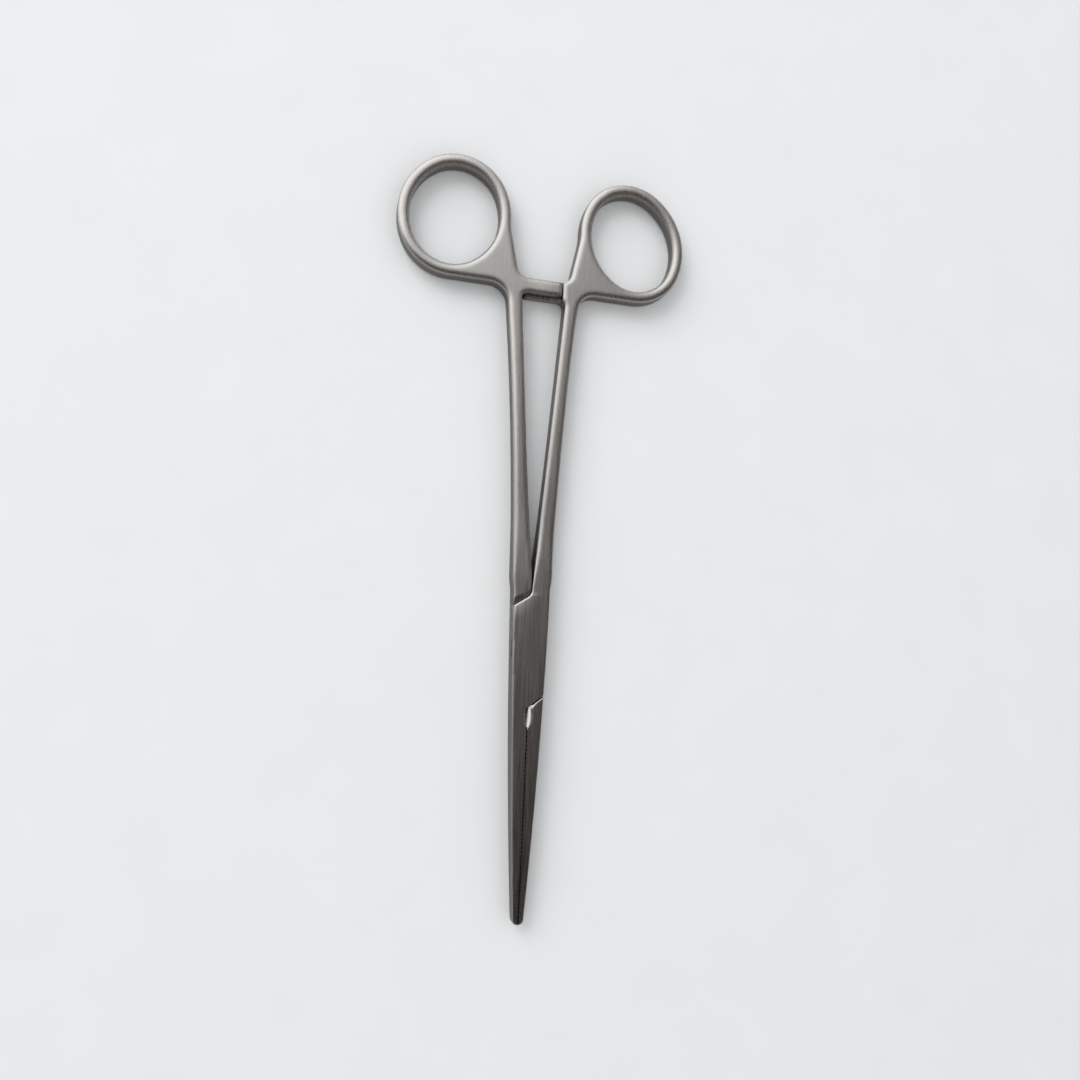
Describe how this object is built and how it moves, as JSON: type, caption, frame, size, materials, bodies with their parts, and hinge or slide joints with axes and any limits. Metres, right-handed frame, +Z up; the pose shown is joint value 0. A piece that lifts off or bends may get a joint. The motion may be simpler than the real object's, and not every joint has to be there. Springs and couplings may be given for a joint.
{
  "type": "hemostat forceps",
  "caption": "Straight hemostat forceps with a box lock, cross-serrated jaws, ratchet bars and finger rings",
  "frame": {"origin": "on the pivot axis of the box lock, at its flat underside", "axes": "+Y runs from the pivot to the finger rings, +Z up out of the flat side, +X to the right"},
  "size_m": [0.073, 0.18, 0.0046],
  "materials": {
    "satin_steel": "satin, brushed lengthwise, edges polished round"
  },
  "bodies": {
    "female_side": {"female_half": "satin_steel", "pivot_pin": "satin_steel"},
    "male_side": {"male_half": "satin_steel"}
  },
  "joints": [
    {"name": "box_lock_pivot", "type": "hinge", "parent": "female_side", "child": "male_side", "pos_m": [0, 0, 0.0023], "axis": [0, 0, 1], "range_deg": [0, 50]}
  ]
}
